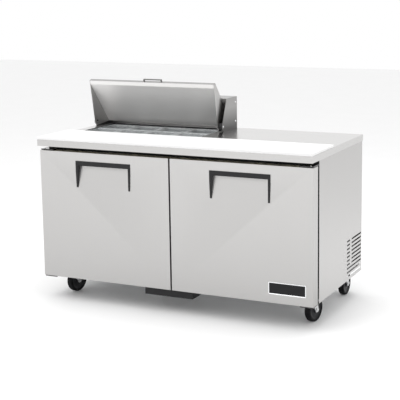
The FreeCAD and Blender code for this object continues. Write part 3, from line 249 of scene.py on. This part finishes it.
def plated(name, brightness, rough, size, contrast, spangle):
    """Metal with a mottled bloom: cloud noise, and crystals from the brightness of Voronoi cells."""
    finish = Finish(name, metallic=1.0)
    bloom = finish.noise((1.0, 1.0, 1.0), detail=5.0, size=size)
    cells = finish.node("ShaderNodeTexVoronoi", {}, output="Color", Vector=finish.stretched((1, 1, 1)),
                        Scale=size * 2.0)
    crystal = finish.node("ShaderNodeSeparateColor", {}, cells)
    patch = bloom * (1 - spangle) + crystal * spangle
    dark, light = [grey(brightness * (1 + way * contrast), COLD) for way in (-1, 1)]
    colour = finish.mix(patch, dark, light)
    return finish.wear(colour, rough - 0.05 + patch * 0.12, bloom, 0.05, 0.0003)


ZINC = plated("zinc_plate", 0.66, 0.26, 60.0, 0.16, 0.15)
GALVANISED = plated("galvanised_sheet", 0.50, 0.40, 45.0, 0.14, 0.65)
CHROME = plated("bright_trim", 0.80, 0.10, 40.0, 0.04, 0.0)
print("plated finishes made")

# %% [markdown]
# ## Plastics, rubber and paint
# Moulded parts are never one even colour. Each has a fine moulded grain as relief, a slow change of tone,
# and a roughness that follows its wear. The board is knife-marked and the pans are partly clear.

# %% Plastic, rubber, paint and bare metals


def moulded(name, colour, rough, grain_size, relief, tone=0.08, **numbers):
    """A moulded material: fine grain in the relief and roughness, slow noise in the tone."""
    finish = Finish(name, **numbers)
    grain = finish.noise((1, 1, 1), detail=3.0, size=grain_size)
    slow = finish.noise((1, 1, 1), detail=3.0, size=7.0)
    dark, light = [tuple(min(1.0, c * way) for c in colour) + (1.0,) for way in (1 - tone, 1 + tone)]
    uneven = rough - 0.04 + grain * 0.05 + slow * 0.04
    return finish.wear(finish.mix(slow, dark, light), uneven, grain, relief, 0.0003)


def board_finish():
    """White cutting board: fine matt grain, with long shallow knife marks across it."""
    finish = Finish("board_white")
    grain = finish.noise((1, 1, 1), detail=4.0, size=420.0)
    marks = finish.noise((240.0, 9.0, 30.0), detail=2.0)
    tone = finish.noise((3.0, 3.0, 3.0), detail=3.0)
    colour = finish.mix(tone, (0.72, 0.72, 0.715, 1.0), (0.77, 0.77, 0.77, 1.0))
    uneven = 0.42 + marks * 0.10 + grain * 0.05
    return finish.wear(colour, uneven, grain * 0.5 + marks * 0.5, 0.12, 0.0003)


MATERIALS = {
    "board_poly": board_finish(),
    "pan_poly": moulded("pan_clear", (0.86, 0.90, 0.91), 0.10, 90.0, 0.02, 0.03, alpha=0.20, IOR=1.58),
    "black_plastic": moulded("black_moulding", (0.016, 0.016, 0.017), 0.46, 900.0, 0.10,
                             specular_ior_level=0.26),
    "gasket_rubber": moulded("gasket_black", (0.010, 0.010, 0.011), 0.60, 500.0, 0.10,
                             specular_ior_level=0.15),
    "wheel_rubber": moulded("tyre_black", (0.006, 0.006, 0.007), 0.55, 260.0, 0.20, 0.25,
                            specular_ior_level=0.10),
    "liner_white": moulded("liner_moulding", (0.80, 0.80, 0.79), 0.32, 300.0, 0.05, 0.03),
    "foam": moulded("foam_cream", (0.80, 0.72, 0.48), 0.85, 700.0, 0.40, 0.10),
    "shelf_wire": moulded("coated_wire", (0.82, 0.83, 0.83), 0.30, 200.0, 0.05, 0.03),
    "fan_plastic": moulded("fan_moulding", (0.05, 0.05, 0.055), 0.40, 500.0, 0.08),
    "black_enamel": moulded("gloss_enamel", (0.012, 0.012, 0.013), 0.16, 60.0, 0.03, 0.20, coat_weight=0.5),
    "stainless": DOOR_STEEL, "stainless_bar": BAR_STEEL, "zinc_steel": ZINC, "galvanised": GALVANISED,
    "fin_aluminium": brushed("fin_aluminium", 0.70, 0.34, "x", 0.0),
    "copper": plated("copper_pipe", 0.5, 0.25, 30.0, 0.1, 0.0),
}
HUB_GREY = moulded("hub_grey", (0.016, 0.016, 0.018), 0.38, 300.0, 0.08, 0.12, specular_ior_level=0.18)
PLATE_BLACK = moulded("plate_black", (0.006, 0.006, 0.007), 0.30, 80.0, 0.03, specular_ior_level=0.25)
copper_shader = MATERIALS["copper"].node_tree
for mixer in [node for node in copper_shader.nodes if node.type == "MIX"]:
    mixer.inputs[6].default_value = (0.62, 0.30, 0.18, 1)
    mixer.inputs[7].default_value = (0.80, 0.45, 0.30, 1)
print(len(MATERIALS), "slots have a finish")

# %% [markdown]
# ## Softened sheet metal
# Folded sheet, castings and mouldings have no perfectly sharp edge; the light that runs along a tiny radius
# is what makes an edge look real. Most measured pieces are copied, their triangles are merged into plain
# faces, and a Bevel rounds the sharp edges of those with a width in the table below.

# %% Round the edges of the measured pieces
EDGE_MM = {
    "worktop": 0.7, "cutting_board": 0.0, "door_skin_left": 0.5, "door_skin_right": 0.5,
    "lid_skin": 0.8, "lid_liner": 2.0, "lid_handle": 1.2,
    "hood_cover": 0.6, "hood_sides": 0.5, "hood_pivots": 1.0,
    "door_handle_left": 1.0, "door_handle_right": 1.0, "door_liner_left": 2.5, "door_liner_right": 2.5,
    "condensate_tray": 0.8, "hinge_brackets": 0.8, "castor_plates": 1.0,
    "front_frame": 1.0, "base_frame": 0.8,
    "side_panel_left": 0.4, "side_panel_right": 0.4, "back_panel": 0.4,
    "cabinet_liner": 0.6, "well_liner": 0.8, "pan_rails": 1.0,
    "evaporator_housing": 0.6, "control_box": 1.5, "thermostat_knob": 0.8, "compressor": 1.0,
    "unit_base_plate": 1.0, "shelf_standards": 0.5, "fan_motors": 0.6,
}
CASTOR_EDGE_MM = 0.8
# The lid handle, the hood cover and the hood sides take darker copies of the steel as painted shade. The
# lid's inside takes a brighter one as painted light.
FINISH_OF = {
    "worktop": TOP_STEEL, "side_panel_left": SIDE_STEEL, "side_panel_right": SIDE_STEEL,
    "lid_skin": LID_STEEL, "lid_liner": LID_INSIDE, "lid_handle": SHADED_STEEL,
    "hood_cover": HOOD_STEEL, "hood_sides": CHEEK_STEEL,
}
SMOOTH_ANGLE = math.radians(14)


def smooth(mesh):
    """Shade smoothly across edges that turn less than the smooth angle."""
    mesh.polygons.foreach_set("use_smooth", np.ones(len(mesh.polygons), bool))
    mesh.set_sharp_from_angle(angle=SMOOTH_ANGLE)


def finished(piece, material, body):
    """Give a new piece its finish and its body."""
    piece.data.materials.clear()
    piece.data.materials.append(material)
    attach(piece, body)
    return piece


def softened(node, edge):
    """A copy of a measured piece with merged faces and rounded edges, standing in for it."""
    mesh = NODES[node].data.copy()
    mesh.name = node + "_soft"
    work = bmesh.new()
    work.from_mesh(mesh)
    bmesh.ops.remove_doubles(work, verts=work.verts, dist=1e-6)
    bmesh.ops.dissolve_limit(work, angle_limit=math.radians(0.6), verts=work.verts, edges=work.edges)
    work.to_mesh(mesh)
    work.free()
    piece = bpy.data.objects.new(node + "_soft", mesh)
    bpy.context.scene.collection.objects.link(piece)
    smooth(mesh)
    if edge:
        bevel = piece.modifiers.new("rounded", "BEVEL")
        bevel.width, bevel.segments, bevel.limit_method = edge * MM, 2, "ANGLE"
        bevel.angle_limit, bevel.harden_normals = SMOOTH_ANGLE, True
    finished(piece, FINISH_OF.get(node, MATERIALS[SLOT_OF[node]]), BODY_OF[node])
    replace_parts(piece, node)
    return piece


REDRAWN = ("food_pan", "castor_wheel", "door_gasket", "screws")
NEW_SHAPES = [node for node in NODES if node.startswith(REDRAWN)]
for node, piece in NODES.items():
    if node in NEW_SHAPES or node == "insulation":
        for held in piece.material_slots:
            held.material = MATERIALS[SLOT_OF[node]]
        continue
    on_castor = node.startswith(("castor_fork", "brake_pedal"))
    softened(node, CASTOR_EDGE_MM if on_castor else EDGE_MM.get(node, 0.0))
print(len(NODES) - len(NEW_SHAPES) - 1, "pieces are copied and softened")

# %% [markdown]
# ## Surfaces from grids
# The pieces below are worked out as whole arrays. A grid holds a point for each pair of two parameters, and
# the same faces join neighbours whatever the shape. Closing a direction joins its last row to its first,
# and closing an end fills the last ring with one face.

# %% The grid builder


def surface(name, grids, material, body, along=False, ends=False):
    """One mesh from grids of points, each (rows, columns, 3). Columns run around the piece, and rows
    run along it; along also joins the last row to the first."""
    points, faces, start = [], [], 0
    for grid in grids:
        rows, columns = grid.shape[:2]
        index = start + np.arange(rows * columns).reshape(rows, columns)
        lower = index if along else index[:-1]
        upper = np.roll(index, -1, axis=0) if along else index[1:]
        quads = np.stack([lower, np.roll(lower, -1, axis=1), np.roll(upper, -1, axis=1), upper], axis=-1)
        faces += quads.reshape(-1, 4).tolist()
        if ends:
            faces += [index[0][::-1].tolist(), index[-1].tolist()]
        points.append(grid.reshape(-1, 3))
        start += rows * columns
    mesh = bpy.data.meshes.new(name)
    mesh.from_pydata(np.concatenate(points).tolist(), [], faces)
    work = bmesh.new()
    work.from_mesh(mesh)
    bmesh.ops.remove_doubles(work, verts=work.verts, dist=1e-6)
    bmesh.ops.recalc_face_normals(work, faces=work.faces)
    work.to_mesh(mesh)
    work.free()
    smooth(mesh)
    piece = bpy.data.objects.new(name, mesh)
    bpy.context.scene.collection.objects.link(piece)
    return finished(piece, material, body)


def turned(profile, centre, axis, count=64):
    """A profile of (radius, distance along the axis) pairs in millimetres, turned about the axis."""
    profile, centre, axis = np.array(profile) * MM, np.array(centre), np.array(axis, float)
    axis /= np.linalg.norm(axis)
    side = np.cross(axis, [0.0, 0.0, 1.0] if abs(axis[2]) < 0.9 else [1.0, 0.0, 0.0])
    side /= np.linalg.norm(side)
    other = np.cross(axis, side)
    angle = np.linspace(0, 2 * math.pi, count, endpoint=False)
    rim = np.cos(angle)[:, None] * side + np.sin(angle)[:, None] * other
    return centre + profile[:, 0, None, None] * rim + profile[:, 1, None, None] * axis


print("builder ready")

# %% [markdown]
# ## Food pans
# A sixth-size pan is moulded with generous corner radii, a flat rim that hangs on the rails and sides that
# taper so that pans stack. Each ring of the grid is a rounded rectangle. The rings start at the middle of
# the floor, climb the inside, pass over the rim and go down the outside, which gives a closed thin shell.

# %% Make the eight pans
CORNER_STEPS = 8


def rounded_rectangle(half_x, half_y, radius):
    """Points round a rectangle whose corners are quarter circles."""
    quarter = np.linspace(0, math.pi / 2, CORNER_STEPS)
    corner = np.stack([np.cos(quarter), np.sin(quarter)], axis=-1) * radius
    ring = []
    for turn, (side_x, side_y) in enumerate(((1, 1), (-1, 1), (-1, -1), (1, -1))):
        c, s = math.cos(turn * math.pi / 2), math.sin(turn * math.pi / 2)
        turned_corner = corner @ np.array([[c, s], [-s, c]])
        ring.append(turned_corner + np.array([side_x * (half_x - radius), side_y * (half_y - radius)]))
    return np.concatenate(ring)


def pan_rings(low, high):
    """The rings of one pan, from the middle of its floor over the rim to the middle of its underside."""
    (x0, y0, z0), (x1, y1, z1) = low, high
    half_x, half_y = (x1 - x0) / 2, (y1 - y0) / 2
    rim, wall, taper, thick = 12 * MM, 2.5 * MM, 9 * MM, 3 * MM
    deep = z1 - z0
    middle_patch = (0.02, 0.02, 0.01)
    rings = [(*middle_patch, wall)]
    inner = [(taper + wall + 14 * MM, wall), (taper + wall + 5 * MM, wall + 1.5 * MM),
             (taper + wall, wall + 8 * MM), (wall, deep - 2.5 * MM), (wall - 0.7 * MM, deep - 0.7 * MM),
             (wall - 2.5 * MM, deep)]
    rings += [(half_x - rim - inset, half_y - rim - inset, 16 * MM, level) for inset, level in inner]
    edge = [(0.9 * MM, 0.0, 9.0), (0.0, 0.9 * MM, 10.0), (0.0, thick - 0.6 * MM, 10.0),
            (0.6 * MM, thick, 9.5)]
    rings += [(half_x - inset, half_y - inset, radius * MM, deep - drop) for inset, drop, radius in edge]
    outer = [(0.0, deep - thick), (taper, 8 * MM), (taper + 5 * MM, 1.5 * MM), (taper + 14 * MM, 0.0)]
    rings += [(half_x - rim - inset, half_y - rim - inset, 18 * MM, level) for inset, level in outer]
    rings.append((*middle_patch, 0.0))
    middle = np.array([(x0 + x1) / 2, (y0 + y1) / 2, z0])
    return np.stack([middle + np.column_stack([rounded_rectangle(a, b, r), np.full(4 * CORNER_STEPS, z)])
                     for a, b, r, z in rings])


for node in [name for name in NODES if name.startswith("food_pan")]:
    pan = surface(node.replace("food_", "clear_"), [pan_rings(*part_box(node))], MATERIALS["pan_poly"],
                  BODY_OF[node], ends=True)
    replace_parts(pan, node)
print("pans made")

# %% [markdown]
# ## Castor wheels
# The wheels are a rubber tyre moulded on a plastic centre. Both are turned shapes: a profile of radius
# against width, carried round the axle. The tyre has a slightly crowned tread with rounded shoulders, and
# the centre has a stepped web and a raised boss.

# %% Turn the wheels
HALF_TYRE = [(48.5, 12.0), (49.5, 14.5), (52.0, 15.4), (57.0, 16.0), (60.5, 14.8), (62.6, 12.0), (63.3, 7.0)]
TYRE = [(r, -w) for r, w in HALF_TYRE] + [(63.5, 0.0)] + HALF_TYRE[::-1]
HALF_CENTRE = [(6.3, 17.2), (18.5, 17.2), (20.0, 16.2), (20.4, 12.6), (23.0, 12.0), (34.0, 9.5), (42.0, 10.5),
               (46.0, 12.6), (48.4, 12.8)]
CENTRE = [(r, -w) for r, w in HALF_CENTRE] + HALF_CENTRE[::-1]
NUT_RADIUS, NUT_THICK, NUT_PLACE = 9.0, 4.6, 22.2
AROUND_WHEEL = 72


def hexagon(centre, axis, thick, radius):
    """A chamfered six-sided nut: three hexagonal rings, the outer one smaller."""
    return turned([(radius, 0.0), (radius, thick * 0.7), (radius * 0.84, thick)], centre, axis, 6)


for joint in frame["record"]["behaviour"]["joints"]:
    if not joint["name"].endswith("_spin") or not joint["name"].startswith("wheel_"):
        continue
    where, hub_axis, wheel_body = joint["pos_m"], np.array(joint["axis"], float), joint["child"]
    name = wheel_body.replace("wheel_", "")
    tyre = surface(f"tyre_{name}", [turned(TYRE, where, hub_axis, AROUND_WHEEL)], MATERIALS["wheel_rubber"],
                   wheel_body, along=True)
    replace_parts(tyre, f"castor_wheel_{name}")
    surface(f"wheel_centre_{name}", [turned(CENTRE, where, hub_axis, AROUND_WHEEL)], HUB_GREY, wheel_body,
            along=True)
    ends = [hexagon(np.array(where) + way * hub_axis * NUT_PLACE * MM, way * hub_axis, NUT_THICK, NUT_RADIUS)
            for way in (-1, 1)]
    surface(f"axle_nuts_{name}", ends, ZINC, BODY_OF[f"castor_fork_{name}"], ends=True)
print("four wheels turned")

# %% [markdown]
# ## Door gaskets
# A magnetic gasket is an extruded strip with bellows, mitred at the corners. Its section is a list of offsets
# inwards and outwards from the door; placing the same section at the four corners makes the whole ring.

# %% Extrude the gaskets
STRIP_WIDTH = 18.0
HALF_BELLOWS = [(2.5, 0.0), (3.0, 3.0), (1.0, 5.0), (3.0, 7.0), (1.0, 9.0), (3.0, 11.0), (0.6, 13.0),
                (0.0, 14.0), (0.0, 16.4), (0.6, 17.0)]
BELLOWS = HALF_BELLOWS + [(STRIP_WIDTH - inward, out) for inward, out in HALF_BELLOWS[::-1]]


def strip_ring(low, high):
    """The bellows section at each corner of a rectangle: inwards on X and Z, out from the door on Y."""
    inward, out = np.array(BELLOWS).T * MM
    corners = [(low[0] + inward, low[2] + inward), (high[0] - inward, low[2] + inward),
               (high[0] - inward, high[2] - inward), (low[0] + inward, high[2] - inward)]
    return np.stack([np.column_stack([x, low[1] + out, z]) for x, z in corners])


for side in ("left", "right"):
    seal = surface(f"bellows_gasket_{side}", [strip_ring(*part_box(f"door_gasket_{side}"))],
                   MATERIALS["gasket_rubber"], f"door_{side}", along=True)
    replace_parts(seal, f"door_gasket_{side}")
print("gaskets made")

# %% [markdown]
# ## Screws
# The pan-head screws that hold the hood are domes with a cross recess. A polar grid gives the dome, and the
# recess is a smooth dip wherever a point lies near either of two crossed lines.

# %% Make the screw heads
HOOD_LOW, HOOD_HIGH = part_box("hood_sides")
JOINTS = frame["record"]["behaviour"]["joints"]
PIVOT = next(joint["pos_m"] for joint in JOINTS if joint["child"] == "lid")
SCREWS_LOW, SCREWS_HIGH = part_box("screws")


def screw_head(x_face, way, y, z, radius, height):
    """A dome over a disc, height * (1 - r squared), with a cross-shaped dip near its middle."""
    r = np.linspace(0, 1, 10)[:, None]
    a = np.linspace(0, 2 * math.pi, 48, endpoint=False)[None, :]
    u, v = r * np.cos(a), r * np.sin(a)
    near = np.minimum(np.abs(u), np.abs(v))
    dip = np.clip(1 - near / 0.13, 0, 1) * np.clip((0.62 - r) / 0.12, 0, 1) * 0.55
    rise = height * (1 - 0.55 * r ** 2 - dip)
    rise[-1] = 0.0
    dome = np.stack([x_face + way * rise + 0 * u, y + u * radius, z + v * radius], axis=-1)
    return dome[::-1]


OUTER_HEAD, INNER_HEAD = 3 * MM, 2.5 * MM
back_y = HOOD_HIGH[1] - 20.5 * MM
seats = ((back_y, HOOD_LOW[2] + 42 * MM, 5 * MM), (back_y, HOOD_HIGH[2] - 28.5 * MM, 5 * MM),
         (PIVOT[1], PIVOT[2], 6 * MM))
heads = []
for face, way, height in ((SCREWS_HIGH[0] - OUTER_HEAD, 1, OUTER_HEAD),
                          (SCREWS_LOW[0] + INNER_HEAD, -1, INNER_HEAD)):
    for y, z, radius in seats:
        heads.append(screw_head(face, way, y, z, radius, height))
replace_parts(surface("screw_heads", heads, CHROME, "root", ends=False), "screws")
print(len(heads), "screw heads")

# %% [markdown]
# ## Hinge pin caps
# Each door turns on two pins. The head of a pin is a low dome on a collar, which catches the light beside the
# dark bracket, so it is turned as its own bright piece.

# %% Turn the pin caps
CAP = [(0.05, 2.6), (2.5, 2.5), (4.6, 1.9), (5.6, 0.9), (5.8, 0.0), (0.05, 0.0)]
BRACKETS_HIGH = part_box("hinge_brackets")[1]
caps = [turned(CAP, (joint["pos_m"][0], joint["pos_m"][1], BRACKETS_HIGH[2] - 0.2 * MM), (0, 0, 1), 32)
        for joint in JOINTS if joint["child"].startswith("door_")]
surface("hinge_pin_caps", caps, CHROME, "root", along=True)
print(len(caps), "pin caps")

# %% [markdown]
# ## Louvres
# Each slot in the side and the back is pierced and pushed, so that a curved lip hangs behind it and hides
# the inside. The lip is a quarter wave in from the slot's top edge, swept along the slot. The side's lips
# take a dark steel as painted shade, since hardly any light reaches them.

# %% Press the louvre lips
SIDE_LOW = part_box("side_panel_right")[0]
LOUVRE = {"front": 0.140, "back": 0.370, "short": 0.046, "gap": 0.028, "low": SIDE_LOW[2] + 17 * MM,
          "pitch": 20.8 * MM, "height": 9 * MM, "drop": 3.5 * MM, "deep": 8 * MM, "count": 10, "whole": 3}
GRILLE_COUNT, GRILLE_START, GRILLE_INSET = 6, 0.340, 60 * MM


def lip(start, end, inward, top):
    """A lip from start to end: in by the sine, and down by one minus the cosine, of a quarter turn."""
    start, end, inward = np.array(start), np.array(end), np.array(inward, float)
    t = np.linspace(0, math.pi / 2, 6)
    fall = np.array([0, 0, LOUVRE["drop"]])
    outer = np.sin(t)[:, None] * inward * LOUVRE["deep"] - (1 - np.cos(t))[:, None] * fall
    thin = outer * 0.84 - np.array([0, 0, 0.9 * MM])
    loop = np.concatenate([outer, thin[::-1]]) + np.array([0, 0, top])
    return np.stack([start + loop, end + loop])


def slot_top(row):
    """The height of a slot's top edge, counted from the lowest slot."""
    return LOUVRE["low"] + row * LOUVRE["pitch"] + LOUVRE["height"]


lips = []
for row in range(LOUVRE["count"]):
    short_end = LOUVRE["front"] + LOUVRE["short"]
    spans = [(LOUVRE["front"], short_end), (short_end + LOUVRE["gap"], LOUVRE["back"])]
    if row < LOUVRE["whole"]:
        spans = [(LOUVRE["front"], LOUVRE["back"])]
    lips += [lip((SIDE_LOW[0], a, 0), (SIDE_LOW[0], b, 0), (-1, 0, 0), slot_top(row)) for a, b in spans]
# Painted shade: the side's lips take the very dark copy of the steel.
surface("side_louvre_lips", lips, SHADED_STEEL, "root", ends=True)
BACK_LOW, BACK_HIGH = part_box("back_panel")
rear = [lip((GRILLE_START, BACK_LOW[1], 0), (BACK_HIGH[0] - GRILLE_INSET, BACK_LOW[1], 0), (0, -1, 0),
            slot_top(LOUVRE["whole"] + row)) for row in range(GRILLE_COUNT)]
surface("back_louvre_lips", rear, GALVANISED, "root", ends=True)
print(len(lips), "side lips and", len(rear), "back lips")

# %% [markdown]
# ## Name plate
# The right door carries a plate with a bright frame. Lettering belongs to a maker, so the plate here is
# plain. The frame is a rounded strip carried round a rectangle, and the plate is a shallow cushion in it.

# %% Make the blank plate
DOOR_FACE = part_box("door_skin_right")[0][1]
PLATE = {"x": (0.532, 0.728), "z": (0.172, 0.234), "frame": 5 * MM, "proud": 2.4 * MM}


def plate_ring(inset, out, radius):
    """A rounded rectangle on the door's face, inset from the plate's edge and standing out from the door."""
    half = [(PLATE[k][1] - PLATE[k][0]) / 2 - inset for k in "xz"]
    ring = rounded_rectangle(*half, max(radius - inset, 0.6 * MM))
    middle_x, middle_z = sum(PLATE["x"]) / 2, sum(PLATE["z"]) / 2
    out_from_door = np.full(len(ring), DOOR_FACE - out)
    return np.column_stack([ring[:, 0] + middle_x, out_from_door, ring[:, 1] + middle_z])


proud, border = PLATE["proud"], PLATE["frame"]
frame_rings = np.stack([plate_ring(inset, out, 6 * MM) for inset, out in (
    (0, 0), (0, proud * 0.6), (0.7 * MM, proud), (border - 0.8 * MM, proud), (border, proud * 0.7),
    (border, 0))])
surface("plate_frame", [frame_rings], CHROME, "door_right", along=True)
inner_rings = np.stack([plate_ring(border, 0, 6 * MM), plate_ring(border, proud * 0.5, 6 * MM),
                        plate_ring(border + 2 * MM, proud * 0.62, 6 * MM)])
surface("plate_face", [inner_rings], PLATE_BLACK, "door_right", ends=True)
print("plate made")

# %% [markdown]
# ## Floor and studio light
# A product is shown on a large, flat pale floor. A bright, even surround gives steel something to reflect.
# One
# large soft lamp from the left and above models the edges, a second stands overhead, and a weak one lifts
# the right side.

# %% Light the scene
world = bpy.data.worlds.new("studio")
world.use_nodes = True
world.node_tree.nodes["Background"].inputs[0].default_value = (1.0, 1.0, 1.0, 1.0)
world.node_tree.nodes["Background"].inputs[1].default_value = 1.0
bpy.context.scene.world = world

floor_mesh = bpy.data.meshes.new("floor")
floor_mesh.from_pydata([(-14, -14, 0), (14, -14, 0), (14, 14, 0), (-14, 14, 0)], [], [(0, 1, 2, 3)])
floor = bpy.data.objects.new("floor", floor_mesh)
bpy.context.scene.collection.objects.link(floor)
floor_finish = Finish("pale_floor", roughness=0.7)
floor_tone = floor_finish.noise((1, 1, 1), size=3.0)
floor_finish.wear(floor_finish.mix(floor_tone, grey(0.90), grey(0.93)), None, None)
floor_mesh.materials.append(floor_finish.material)


def soft_lamp(name, place, aim, size, power):
    """A square area lamp that faces its aim."""
    lamp = bpy.data.lights.new(name, "AREA")
    lamp.size, lamp.energy = size, power
    holder = bpy.data.objects.new(name, lamp)
    bpy.context.scene.collection.objects.link(holder)
    holder.location = place
    holder.rotation_euler = (Vector(aim) - Vector(place)).to_track_quat("-Z", "Y").to_euler()
    return holder


LAMPS = [soft_lamp("key", (-1.4, -2.6, 4.2), (0, 0, 0.6), 3.0, 60),
         soft_lamp("top", (0.4, 0.4, 3.6), (0, 0, 0.9), 2.8, 40),
         soft_lamp("fill", (4.2, -2.0, 1.8), (0.4, 0, 0.6), 2.2, 20)]
print(len(LAMPS), "lamps")
